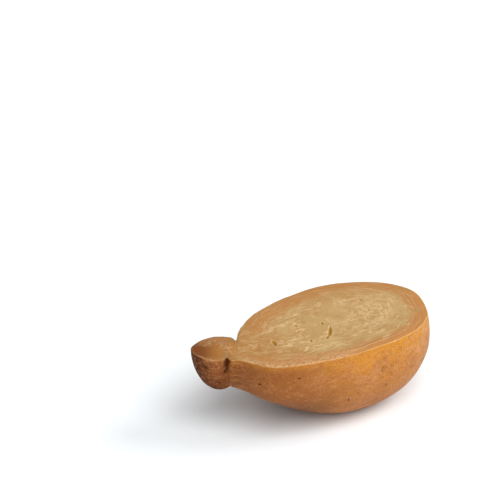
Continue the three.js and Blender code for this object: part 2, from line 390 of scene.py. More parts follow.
def grain(x, y, z=0.0, seed=0):
    """Gradient noise of about -1 to 1, with features one unit wide.

    Each corner of a lattice of unit cubes has a direction drawn with a fixed seed. The value
    is the dot product of that direction with the offset from the corner, blended over the
    cube's eight corners by 6t^5 - 15t^4 + 10t^3 of the place within it.
    """
    x, y, z = np.broadcast_arrays(x, y, z)
    place = np.stack([x + 17.3 * seed, y - 9.1 * seed, z + 3.7 * seed], -1)
    cell = np.floor(place).astype(int)
    within = place - cell
    ease = within ** 3 * (within * (within * 6 - 15) + 10)
    total = np.zeros(place.shape[:-1])
    for corner in itertools.product((0, 1), repeat=3):
        spot = (cell + corner) % LATTICE
        drawn = SHUFFLE[(SHUFFLE[(SHUFFLE[spot[..., 0]] + spot[..., 1]) % LATTICE]
                         + spot[..., 2]) % LATTICE]
        weight = np.prod(np.where(corner, ease, 1 - ease), -1)
        total += weight * np.sum((within - corner) * DIRECTIONS[drawn], -1)
    return 1.5 * total


def layered(x, y, z=0.0, seed=0, octaves=3):
    """Gradient noise plus finer layers, each half as wide and half as strong as the last."""
    total = 0.0
    for octave in range(octaves):
        total = total + grain(x * 2 ** octave, y * 2 ** octave, z * 2 ** octave,
                              seed + 5 * octave) / 2 ** octave
    return total


def end_fade(m, along, reach):
    """0 at the cheese's two ends, rising to 1 over the reach."""
    return smooth(along, 0, reach) * smooth(m.total - along, 0, reach)


def evenly(cumulative, values, count):
    """count values spread so that equal shares of the cumulative measure lie between them."""
    return np.interp(np.linspace(cumulative[0], cumulative[-1], count), cumulative, values)


# ---- the cheese's outline


LENGTHS = ("head_length", "body_length", "head_width", "head_depth", "neck_width", "neck_depth",
           "body_width", "body_depth", "groove_depth")
LEANS = ("head_lean", "body_lean", "end_lean")


def measured(sizes):
    """The sizes in millimetres, with the places along the middle line that follow from them."""
    m = SimpleNamespace(**{name: getattr(sizes, name) / MILLIMETRE for name in LENGTHS},
                        **{name: getattr(sizes, name) for name in LEANS})
    m.head = m.head_length
    m.total = m.head_length + m.body_length
    m.foot = (SOLID_HIGH.z - SOLID_LOW.z) / MILLIMETRE
    m.widest = m.head + BODY_WIDEST
    m.deepest = m.head + BODY_DEEPEST
    return m


def middle_line(m, along):
    """Place and heading of the cut face's middle line.

    The heading eases from the head's lean to the body's over the bend behind the neck, and to
    the end's lean over the last stretch. The place is the sum of short steps along it, counted
    from the neck's middle.
    """
    steps = np.linspace(0, m.total, LINE_STEPS)
    middle = (steps[1:] + steps[:-1]) / 2
    bend = smooth(middle, m.head - BEND_BEFORE_NECK, m.head - BEND_BEFORE_NECK + BEND_LENGTH)
    end = smooth(middle, m.total - END_BEND_LENGTH, m.total)
    heading = -((m.head_lean + (m.body_lean - m.head_lean) * bend) * (1 - end)
                + m.end_lean * end)
    step = steps[1] - steps[0]
    x = np.concatenate([[0], np.cumsum(step * np.cos(heading))])
    y = np.concatenate([[0], np.cumsum(step * np.sin(heading))])
    heading = np.concatenate([[-m.head_lean], heading])
    x = np.interp(along, steps, x) - np.interp(m.head, steps, x)
    y = np.interp(along, steps, y) - np.interp(m.head, steps, y)
    return x, y, np.interp(along, steps, heading)


def head_size(m, along, peak, widest, neck, curve):
    """An arch up to the head's widest place, then peak + (neck - peak) t^turn to the neck."""
    t = np.clip((along - widest) / (m.head - widest), 0, 1)
    return np.where(along < widest, arch(peak, curve, 1 - along / widest),
                    peak + (neck - peak) * t ** NECK_TURN)


def half_width(m, along, side):
    """Head, wider by its spread towards the far side, then the hypotenuse of a quarter ellipse
    and neck t^2, then the end's arch."""
    t = np.clip((m.widest - along) / (m.widest - m.head), 0, 1)
    belly = np.hypot(m.body_width * np.sqrt(1 - t * t), m.neck_width * t * t)
    end = arch(m.body_width, END_WIDTH_CURVE, (along - m.widest) / (m.total - m.widest))
    peak = m.head_width * (1 + HEAD_SPREAD * np.maximum(side, 0))
    head = head_size(m, along, peak, HEAD_WIDEST, m.neck_width, HEAD_WIDTH_CURVE)
    return np.where(along < m.head, head, np.where(along > m.widest, end, belly))


def half_depth(m, along):
    """Head, then neck + (peak - neck)(1 - t^fullness)^hollow, then the end's arch."""
    t = np.clip((m.deepest - along) / (m.deepest - m.head), 0, 1)
    gained = (1 - t ** BELLY_FULLNESS) ** BELLY_HOLLOW
    belly = m.neck_depth + (m.body_depth - m.neck_depth) * gained
    end = arch(m.body_depth, END_DEPTH_CURVE, (along - m.deepest) / (m.total - m.deepest))
    head = head_size(m, along, m.head_depth, HEAD_DEEPEST, m.neck_depth, HEAD_DEPTH_CURVE)
    return np.where(along < m.head, head, np.where(along > m.deepest, end, belly))


def groove_middle(m, side, down):
    """The string groove's middle, bowed towards the head by a share 4 down (1 - down) of its
    greatest bow on the near side."""
    return m.head - GROOVE_BOW * 4 * down * (1 - down) * (side < 0)


def rind_point(m, along, turn, relief=0.0):
    """The rind at a station along the middle line and a turn from the far rim (0) to the near
    one (pi), in millimetres, and its shares across and down.

    The section is a half superellipse: across cos / n and down sin / n of the half width and
    depth, with n = (|cos|^p + |sin|^p)^(1/p). Long waves and relief add to both, and the
    string groove takes from both. The belly swells out by a share of sin(pi drop / depth). The
    shoulder, its dip and the hollow flank are bells along, each on its own side, and all behind
    the groove.
    """
    x, y, heading = middle_line(m, along)
    s = along - GROOVE_SKEW * np.cos(turn) * bell(along, m.head, GROOVE_SKEW_REACH)
    p = HEAD_SECTION + (BODY_SECTION - HEAD_SECTION) * smooth(s, m.head, m.head + SECTION_CHANGE)
    cosine, sine = np.cos(turn), np.clip(np.sin(turn), 0, 1)
    n = (np.abs(cosine) ** p + sine ** p) ** (1 / p)
    side, down = cosine / n, sine / n
    wave_turn = np.arctan2(down ** (p / 2), np.sign(side) * np.abs(side) ** (p / 2))
    waves = sum(part * np.sin(rate * s + start) * np.sin(times * wave_turn + shift)
                for part, rate, start, times, shift in LUMPS)
    uneven = LUMP_HEIGHT * np.sin(np.pi * s / m.total) * waves + relief
    pressed = GROOVE_UNDER + (m.groove_depth - GROOVE_UNDER) * side ** GROOVE_FADE
    uneven = uneven - pressed * bell(s, groove_middle(m, side, down), GROOVE_REACH)
    drop = np.maximum(half_depth(m, s) + uneven, 0) * down
    swell = SWELL * smooth(s, m.head, m.widest) * np.sin(np.pi * drop / m.body_depth)
    bulge = SHOULDER.bulge * bell(s, m.head + SHOULDER.at, SHOULDER.reach)
    bulge = bulge - DIP.deep * bell(s, m.head + DIP.at, DIP.reach)
    bulge = bulge * smooth(s, m.head, m.head + SHOULDER.rise)
    hollow = FLANK.hollow * bell(s, m.head + FLANK.at, FLANK.reach)
    hollow = hollow * smooth(s, m.head, m.head + FLANK.rise)
    across = np.maximum(half_width(m, s, side) + uneven, 0) * (1 + swell) * side
    across = across + bulge * np.maximum(side, 0) + hollow * np.maximum(-side, 0)
    ahead = swell * np.maximum(s - m.widest, 0)
    place = np.stack([x + ahead * np.cos(heading) - across * np.sin(heading),
                      y + ahead * np.sin(heading) + across * np.cos(heading), -drop], -1)
    return place, side, down, s


def station_places(m, count):
    """Stations along the middle line: equal steps of the mean length of the two rims, times how
    much closer they are to lie in the head, neck and slits."""
    fine = m.total * (1 - np.cos(np.linspace(0, np.pi, STATION_STEPS))) / 2
    rims = [rind_point(m, fine, np.full(fine.shape, turn))[0] for turn in (0, np.pi)]
    step = sum(np.linalg.norm(np.diff(rim, axis=0), axis=1) for rim in rims) / 2
    middle = (fine[1:] + fine[:-1]) / 2
    closer = 1 + CLOSER_HEAD.more * smooth(middle, CLOSER_HEAD.gone, CLOSER_HEAD.full)
    closer = closer + CLOSER_SLITS.more * bell(middle, CLOSER_SLITS.at, CLOSER_SLITS.reach)
    return evenly(np.concatenate([[0], np.cumsum(step * closer)]), fine, count)


def rows_across(span, edge, density, rows):
    """Places from 0 to a span: set ones near both ends, and the rest of the rows between them at
    equal steps of a density. The last of the set ones is where the even rows begin."""
    fine = np.linspace(edge[-1], span - edge[-1], ROW_STEPS)
    inner = evenly(np.cumsum(density(fine)), fine, rows - 2 * (len(edge) - 1))
    return np.concatenate([edge[:-1], inner, (span - edge[:-1])[::-1]])


def rind_turns(m, rows):
    """Turns from the far rim (0) to the near one (pi), closer near both rims."""
    return rows_across(np.pi, EDGE_ROWS / m.body_depth, lambda turn: (
        1 + 1.3 * smooth(turn, 2.2, 2.9) + 0.5 * smooth(turn, 0.8, 0.2)), rows)


def face_shares(m, rows):
    """Shares of the way from the near rim (0) to the far one (1), without the rims themselves,
    closer about the slits and at the near rim."""
    return rows_across(1, EDGE_ROWS[1:] / (2 * m.body_width), lambda share: (
        1 + 0.35 * bell(share, 0.32, 0.2) + 0.8 * smooth(share, 0.09, 0.02)), rows)


# ---- relief of the rind


def rind_relief(m, along, turn):
    """Bumps and dents of the rind in millimetres, with how much of each place is pitted.

    Gentle waves 9 and 24 mm wide, long lines along the body, tight wrinkles round the head,
    pleats beside the groove, and pits, each deep exp(-a^2 - b^2) with a and b the shares of its
    half length and half height. All fade out at the two ends.
    """
    cosine, sine = np.cos(turn), np.sin(turn)
    drop = sine * half_depth(m, along)
    on_body = smooth(along, m.head + 2, m.head + 14)
    on_body = on_body * (1 - smooth(along, m.total - 40, m.total - 12))
    on_head = 1 - smooth(along, m.head - 2, m.head + 1)
    beside = bell(along, m.head + 5, 7) * (1 - on_head)
    beside = beside * smooth(turn, 0.5, 1.6) * (1 - 0.7 * smooth(turn, 2.95, 3.1))
    broad = grain(along / 24, 2.2 * cosine, 2.2 * sine, seed=1)
    gentle = grain(along / 9, 5 * cosine, 5 * sine, seed=2)
    lines = layered(along / 30, turn * GIRTH / 4.2, seed=3, octaves=2)
    folds = layered(along / 11 + 0.25 * np.sin(drop / 5), drop / 2.7, cosine, seed=4, octaves=2)
    wrinkles = layered(along / 5, drop / 5, cosine, seed=6)
    pleats = layered(along / 14, drop / 2.4, cosine, seed=7, octaves=2)
    tall = RIND_RELIEF
    relief = (tall.broad * broad + tall.gentle * gentle + tall.lines * lines * on_body
              + (tall.wrinkles * wrinkles - tall.folds * np.abs(folds)) * on_head
              + tall.pleats * pleats * beside)
    rng = np.random.default_rng(7)
    scattered = zip(*(rng.uniform(low, high, SCATTERED_PITS) for low, high in PIT_RANGES))
    pitted = np.zeros(np.broadcast(along, turn).shape)
    for at, degrees, half_length, half_height, deep in itertools.chain(PITS, scattered):
        away = (((along - at) / half_length) ** 2
                + ((turn - math.radians(degrees)) * GIRTH / half_height) ** 2)
        relief = relief - deep * np.exp(-away)
        pitted = np.maximum(pitted, min(1.0, 1.5 * deep) * np.exp(-1.2 * away))
    return end_fade(m, along, 5) * relief, pitted


def patch_share(along, turn, patches):
    """The greatest of share exp(-a^2 - b^2) over the patches of a table such as GOLDEN, with a
    and b the shares of a patch's half length and half height."""
    shares = np.zeros(np.broadcast(along, turn).shape)
    for at, degrees, half_length, half_height, part in patches:
        a = (along - at) / half_length
        b = (turn - math.radians(degrees)) * GIRTH / half_height
        shares = np.maximum(shares, part * np.exp(-a * a - b * b))
    return shares


# ---- relief of the cut face


def away_from_run(x, y, run):
    """Distance to the nearest stretch of a run of points."""
    nearest = np.full(x.shape, np.inf)
    for (x0, y0), (x1, y1) in zip(run[:-1], run[1:]):
        t = np.clip(((x - x0) * (x1 - x0) + (y - y0) * (y1 - y0))
                    / ((x1 - x0) ** 2 + (y1 - y0) ** 2), 0, 1)
        nearest = np.minimum(nearest, np.hypot(x - x0 - t * (x1 - x0), y - y0 - t * (y1 - y0)))
    return nearest


def turned(x, y, at_x, at_y, degrees):
    """Places measured from a point along and across a direction turned by some degrees."""
    turn = math.radians(degrees)
    x, y = x - at_x, y - at_y
    return (x * math.cos(turn) + y * math.sin(turn), y * math.cos(turn) - x * math.sin(turn))


def torn_share(x, y):
    """The greatest of share exp(-0.8 (a^2 + b^2)) over TORN, with a and b the shares of a
    place's half length and half width."""
    torn = np.zeros(x.shape)
    for at_x, at_y, half_length, half_breadth, degrees, part in TORN:
        a, b = turned(x, y, at_x, at_y, degrees)
        away = (a / half_length) ** 2 + (b / half_breadth) ** 2
        torn = np.maximum(torn, part * np.exp(-0.8 * away))
    return torn


def openings(x, y):
    """Depth of the slits, holes and cracks in millimetres, and the share of their raised lips.

    A slit is a lens: its half width is width / 2 sqrt(1 - l^2)(1 + taper l) at the share l of
    its half length, and its depth is deep (1 - (c / half width)^2)^0.7. A crack is a bell
    across its run of points, opened by a share that comes and goes. Noise frays both, and their
    lips are bells beside them.
    """
    depth = np.zeros(x.shape)
    lips = np.zeros(x.shape)
    fine_x, fine_y = x / FRAY_WIDTH, y / FRAY_WIDTH
    frayed_x, frayed_y = (place + FRAY * layered(fine_x, fine_y, seed=seed, octaves=2)
                          for place, seed in ((x, 21), (y, 22)))
    for at_x, at_y, degrees, long, wide, deep, taper in SLITS:
        l, c = turned(frayed_x, frayed_y, at_x, at_y, degrees)
        l = l * 2 / long
        half = wide / 2 * np.sqrt(np.clip(1 - l * l, 0, 1)) * (1 + taper * l) + 1e-6
        inside = np.clip(1 - (c / half) ** 2, 0, 1) * (np.abs(l) < 1)
        depth = np.maximum(depth, deep * inside ** 0.7)
        beyond = np.hypot(np.maximum(np.abs(l) - 1, 0) * long / 2, np.maximum(np.abs(c) - half, 0))
        lips = np.maximum(lips, bell(beyond, LIP_AWAY, LIP_REACH) * (inside <= 0))
    open_share = np.clip(0.5 + 1.6 * grain(x / 2.4, y / 2.4, seed=23), 0.1, 1)
    for run in CRACKS:
        away = away_from_run(frayed_x, frayed_y, run)
        depth = np.maximum(depth, CRACK_DEPTH * open_share * bell(away, 0, CRACK_REACH))
        lips = np.maximum(lips, 0.6 * bell(away, 1.0, CRACK_REACH))
    return depth, lips


def ragged_share(along, near):
    """How ragged the rim is: the near side from the neck to the shoulder, and a little of the
    head's near side."""
    shoulder = smooth(along, *RAGGED_START) * (1 - smooth(along, *RAGGED_END))
    return (shoulder + 0.45 * bell(along, 16, 12)) * smooth(near, 0.2, 0.6)


def ring_share(m, x, y, rim, along, near):
    """The firm ring under the rind: 1 at the rim, fading out where the distance from it, shifted
    by noise 14 mm wide, nears the ring's width. It is widest at the far side and the blunt end,
    and starts behind the neck."""
    width = RING_WIDTH + RING_WIDER_FAR * smooth(near, 0.1, -0.8) * bell(along, 105, 60)
    width = width + RING_WIDER_END * smooth(along, 195, 215) * smooth(near, 0.9, 0.3)
    ring = 1 - smooth(rim + 2.5 * grain(x / 14, y / 14, seed=31), width - 6, width + 5)
    near_side = smooth(near, 0.2, 0.6)
    start = m.head + 10 - 6 * near_side
    return ring * smooth(along, start, start + 35 - 18 * near_side)


def face_relief(m, x, y, rim, flow, along, near):
    """Height of the cut face in millimetres, and the masks of its finish.

    Broad waves, streaks that follow the flow, flakes that stand proud and hollows between them
    where the paste tore, and the openings with their lips. The ring under the rind is smoother.
    """
    ring = ring_share(m, x, y, rim, along, near)
    torn = np.maximum(torn_share(x, y), 0.9 * ragged_share(along, near) * bell(rim, 1.5, 4.5))
    depth, lips = openings(x, y)
    broad, gentle = grain(x / 30, y / 30, seed=32), grain(x / 11, y / 11, seed=33)
    streaks = layered(x / 10, y / 10, flow / 2.6, seed=34)
    flaky = layered(x / 5, y / 4, flow / 2.4, seed=35)
    flakes = smooth(flaky, 0.2, 0.5) * (0.12 + torn) * (1 - 0.75 * ring)
    hollows = smooth(-flaky, 0.35, 0.7) * torn
    tall = FACE_RELIEF
    height = (tall.broad * broad + tall.gentle * gentle + tall.lips * lips - depth
              + tall.streaks * streaks * (1 - 0.55 * ring)
              + tall.flakes * flakes - tall.hollows * hollows)
    return height, {
        "ring": ring,
        "torn": torn,
        "flakes": np.clip(flakes + 0.5 * lips, 0, 1),
        # The openings' depth share sets the painted shade inside them.
        "opened": np.clip(depth / 1.5, 0, 1),
    }


# ---- the whole skin


def nearest_rim(x, y, rim_x, rim_y):
    """Distance in the plane from each place to the nearest rim point, worked out in strips."""
    nearest = np.full(x.shape, np.inf)
    for strip in range(0, rim_x.size, RIM_STRIP):
        across = x[..., None] - rim_x[strip:strip + RIM_STRIP]
        up = y[..., None] - rim_y[strip:strip + RIM_STRIP]
        nearest = np.minimum(nearest, np.sqrt(np.min(across ** 2 + up ** 2, -1)))
    return nearest


def wear_rims(m, along, side, chord, across, inward, rind, face):
    """Rounds both rims over and bites the ragged one, in place.

    The near rim moves inward by bite exp(-(d / reach)^2) + worn exp(-d / reach) at a distance d
    from it, and the far rim by worn exp(-d / reach). Both drop by drop exp(-d / reach).
    """
    fade = end_fade(m, along, RIM_FADE)
    ragged = ragged_share(along, 1.0)
    nick = np.maximum(grain(along / 2.1, 0.5, seed=42) + 0.05, 0)
    bite = (RIM_BITE + RAGGED.bite * ragged) * layered(along / 5.5, 0.5, seed=41)
    bite = bite + RAGGED.nick * ragged * nick
    worn = RIM_WORN + RAGGED.worn * ragged
    crumbled = RAGGED.drop - RAGGED.crumble * layered(along / 2.6, 0.2, seed=43)
    near_drop = NEAR_RIM_DROP + ragged * crumbled
    under = -rind[..., 2]
    for place, from_near, from_far, by_near, by_far in (
            (rind, under, under, side < 0, side > 0),
            (face, across * chord, (1 - across) * chord, True, True)):
        pull = bite * bell(from_near, 0, RIM_BITE_REACH)
        pull = (pull + worn * np.exp(-from_near / RIM_WORN_REACH)) * by_near
        pull = pull - RIM_WORN * np.exp(-from_far / RIM_WORN_REACH) * by_far
        place += inward * (fade * pull)[..., None]
        drop = near_drop * np.exp(-from_near / NEAR_RIM_DROP_REACH) * by_near
        drop = drop + FAR_RIM_DROP * np.exp(-from_far / FAR_RIM_DROP_REACH) * by_far
        place[..., 2] -= fade * drop


def cheese_skin(m, sizes):
    """The closed skin as rings of points, the two end points, and the masks of the finishes.

    Each ring goes from the far rim down round the rind to the near rim, and back to the far rim
    over the cut face, whose points lie on the straight line between the two rims. The flow is
    (reach^2 / width)(1 - n^2) / 2 at the share n from the middle to a rim, with the reach the
    face's half width behind the widest place and the body's half width before it, so that its
    level lines run into the neck and close round the blunt end.
    """
    along = station_places(m, sizes.stations)[1:-1, None]
    turn = rind_turns(m, sizes.rind_rows)[None, :]
    across = face_shares(m, sizes.face_rows)[None, :]
    relief, pitted = rind_relief(m, along, turn)
    rind, side, down, level = rind_point(m, along, turn, relief)
    far_rim, near_rim = rind[:, :1], rind[:, -1:]
    face = near_rim + (far_rim - near_rim) * across[..., None]
    chord = np.linalg.norm(far_rim - near_rim, axis=-1)
    inward = (far_rim - near_rim) / chord[..., None]
    near = 1 - 2 * across
    x, y = face[..., 0], face[..., 1]
    rim_x, rim_y = (np.concatenate([far_rim[:, 0, i], near_rim[:, 0, i]]) for i in (0, 1))
    rim = nearest_rim(x, y, rim_x, rim_y)
    reach = np.where(along < m.widest, m.body_width, chord / 2)
    flow = reach ** 2 * (1 - near ** 2) / (2 * m.body_width)
    face_along = along + 0 * across
    height, masks = face_relief(m, x, y, rim, flow, face_along, near)
    face[..., 2] = height * smooth(rim, 0, RIM_BITE_REACH)
    wear_rims(m, along, side, chord, across, inward, rind, face)
    rind[..., 2] = np.maximum(rind[..., 2], -m.foot)

    under = -rind[..., 2]
    # The share of painted shade in the string groove: strongest near the rims, where the groove is
    # pressed deepest, fading further down.
    sunk = np.abs(side) ** GROOVE_FADE * (1 - 0.7 * smooth(under, 8, 18))
    groove = bell(level, groove_middle(m, side, down) + 0.7 * sunk, 0.9 + 1.9 * sunk) * sunk
    on_rind = {
        "along": level,
        "rim": under,
        "near": -side,
        # The pits' share sets the painted shade in them.
        "opened": pitted,
        "groove": groove,
        "golden": patch_share(along, turn, GOLDEN),
        "worn": patch_share(along, turn, WORN),
        "ragged": ragged_share(along, -side),
    }
    on_face = {
        **masks,
        "along": face_along,
        "rim": rim,
        "near": near,
        "flow": flow,
        "ragged": ragged_share(face_along, near),
    }
    finishes = {
        title: np.concatenate([np.broadcast_to(on_rind.get(title, 0.0), side.shape),
                               np.broadcast_to(on_face.get(title, 0.0), x.shape)], 1)
        for title in {**on_rind, **on_face}
    }
    tips = np.array([[*middle_line(m, end)[:2], 0.0] for end in (0.0, m.total)])
    return np.concatenate([rind, face], 1), tips, finishes


def placed(points):
    """Millimetres in the cheese's own frame to metres in the solid's: the outline's box is
    centred on the solid's, with the cut face at the solid's top."""
    low, high = points.min(0), points.max(0)
    shift = np.array(SOLID_CENTRE) / MILLIMETRE - (low + high) / 2
    shift[2] = SOLID_HIGH.z / MILLIMETRE
    return (points + shift) * MILLIMETRE


def skin_mesh(name, rings, tips, finishes, rind_columns):
    """A closed mesh: quads between neighbouring rings, a fan at each tip, and the masks.

    The first material covers the quads of the rind, the second those of the cut face.
    """
    count, columns = rings.shape[:2]
    points = placed(np.concatenate([rings.reshape(-1, 3), tips]))
    index = np.arange(count * columns).reshape(count, columns)
    after = np.roll(index, -1, axis=1)
    quads = np.stack([index[:-1], after[:-1], after[1:], index[1:]], -1).reshape(-1, 4)
    first, last = count * columns, count * columns + 1
    start = np.stack([after[0], index[0], np.full(columns, first)], -1)
    end = np.stack([index[-1], after[-1], np.full(columns, last)], -1)
    mesh = bpy.data.meshes.new(name)
    mesh.from_pydata(points.tolist(), [], quads.tolist() + start.tolist() + end.tolist())
    on_face = np.arange(columns) >= rind_columns - 1
    slots = np.concatenate([np.tile(on_face, count - 1), on_face, on_face]).astype(np.int32)
    mesh.polygons.foreach_set("material_index", slots)
    mesh.polygons.foreach_set("use_smooth", np.ones(len(mesh.polygons), bool))
    for title, values in finishes.items():
        tip_values = [values[0].mean(), values[-1].mean()]
        layer = mesh.attributes.new(title, "FLOAT", "POINT")
        layer.data.foreach_set("value", np.concatenate([values.ravel(), tip_values]))
    mesh.update()
    return mesh


# ---- finishes


def arithmetic(kind, turned_round=False):
    """A method that works out one step of arithmetic on a measure and another number, or the
    other way round."""

    def method(self, other):
        """The result, as a measure."""
        return self.recipe.sum(kind, *((other, self) if turned_round else (self, other)))

    return method


class Measure:
    """A number that varies over the surface, with arithmetic done by its recipe's nodes."""

    def __init__(self, recipe, socket):
        """Keeps the recipe and the socket that gives the number."""
        self.recipe = recipe
        self.socket = socket

    __add__ = arithmetic("ADD")
    __sub__ = arithmetic("SUBTRACT")
    __rsub__ = arithmetic("SUBTRACT", turned_round=True)
    __mul__ = arithmetic("MULTIPLY")
    __truediv__ = arithmetic("DIVIDE")

    def step(self, start, end):
        """Rises from 0 at start to 1 at end, as 3t^2 - 2t^3 of the share t of the way."""
        inputs = {"Value": self, "From Min": start, "From Max": end}
        node = self.recipe.add("ShaderNodeMapRange", inputs, interpolation_type="SMOOTHSTEP")
        return Measure(self.recipe, node.outputs["Result"])


class Recipe:
    """A material's nodes, added one after another and joined by their sockets."""

    def __init__(self, name):
        """Starts a material, and reads the object's coordinates for its patterns."""
        self.material = bpy.data.materials.new(name)
        self.material.use_nodes = True
        self.nodes = self.material.node_tree.nodes
        self.links = self.material.node_tree.links
        self.place = self.add("ShaderNodeTexCoord").outputs["Object"]

    def feed(self, socket, value):
        """Joins a socket to a measure or another socket, or sets its number or colour."""
        if isinstance(value, Measure):
            value = value.socket
        if isinstance(value, bpy.types.NodeSocket):
            self.links.new(value, socket)
        elif isinstance(value, (int, float)):
            socket.default_value = value
        else:
            fits = len(socket.default_value)
            socket.default_value = (tuple(value) + (1.0,))[:fits]

    def add(self, kind, inputs=None, **settings):
        """A new node with its settings, and its inputs fed by their names or places."""
        node = self.nodes.new(kind)
        for setting, value in settings.items():
            setattr(node, setting, value)
        for socket, value in (inputs or {}).items():
            self.feed(node.inputs[socket], value)
        return node

    def mask(self, name):
        """A mask or measure that the mesh carries."""
        return Measure(self, self.add("ShaderNodeAttribute", attribute_name=name).outputs["Fac"])

    def sum(self, kind, *parts, held=False):
        """One step of arithmetic, held within 0 to 1 if asked."""
        node = self.add("ShaderNodeMath", dict(enumerate(parts)), operation=kind, use_clamp=held)
        return Measure(self, node.outputs[0])

    def cells(self, size):
        """The object's coordinates in cells of so many millimetres: one size, or one per axis."""
        scale = 1 / (MILLIMETRE * np.broadcast_to(size, 3))
        node = self.add("ShaderNodeVectorMath", {0: self.place, 1: scale}, operation="MULTIPLY")
        return node.outputs["Vector"]

    def xy(self):
        """The object's x and y in millimetres."""
        node = self.add("ShaderNodeSeparateXYZ", {0: self.cells(1)})
        return [Measure(self, socket) for socket in node.outputs[:2]]

    def noise(self, size, detail, rough=0.5):
        """Noise from 0 to 1 with features about one cell wide, in cells of a size in millimetres
        or in the units of up to three measures."""
        if isinstance(size, tuple) and isinstance(size[0], Measure):
            place = self.add("ShaderNodeCombineXYZ", dict(enumerate(size))).outputs["Vector"]
        else:
            place = self.cells(size)
        inputs = {"Vector": place, "Scale": 1.0, "Detail": detail, "Roughness": rough}
        return Measure(self, self.add("ShaderNodeTexNoise", inputs).outputs["Fac"])

    def spots(self, size, radius, kept_share):
        """Round spots in a share of the cells, each (1 - distance / size) from its middle, with
        its size drawn from 0.4 to 1 of the radius."""
        node = self.add("ShaderNodeTexVoronoi", {"Vector": self.cells(size), "Scale": 1.0})
        drawn = self.add("ShaderNodeSeparateColor", {0: node.outputs["Color"]})
        kept = self.sum("LESS_THAN", drawn.outputs[0], kept_share)
        reach = Measure(self, drawn.outputs[1]) * (0.6 * radius) + 0.4 * radius
        away = self.sum("DIVIDE", node.outputs["Distance"], reach)
        return self.sum("SUBTRACT", 1.0, away, held=True) * kept

    def mix(self, factor, first, second):
        """first where factor is 0 and second where it is 1."""
        node = self.add("ShaderNodeMix", {0: factor, 6: first, 7: second}, data_type="RGBA")
        return node.outputs[2]

    def layers(self, tint, *layers):
        """The tint under layers of (colour, strength), each laid over those before it."""
        for colour, strength in layers:
            tint = self.mix(strength, tint, colour)
        return tint

    def bump(self, *layers):
        """Fine relief from layers of (height, millimetres), where a height of 1 stands so many
        millimetres proud of 0."""
        inputs = {"Strength": 1.0}
        for height, millimetres in layers:
            inputs.update({"Height": height, "Distance": millimetres * MILLIMETRE})
            inputs["Normal"] = self.add("ShaderNodeBump", inputs).outputs["Normal"]
        return inputs["Normal"]

    def surface(self, inputs):
        """The material, with the surface's own inputs fed by their names."""
        for name, value in inputs.items():
            self.feed(self.nodes["Principled BSDF"].inputs[name], value)
        return self.material


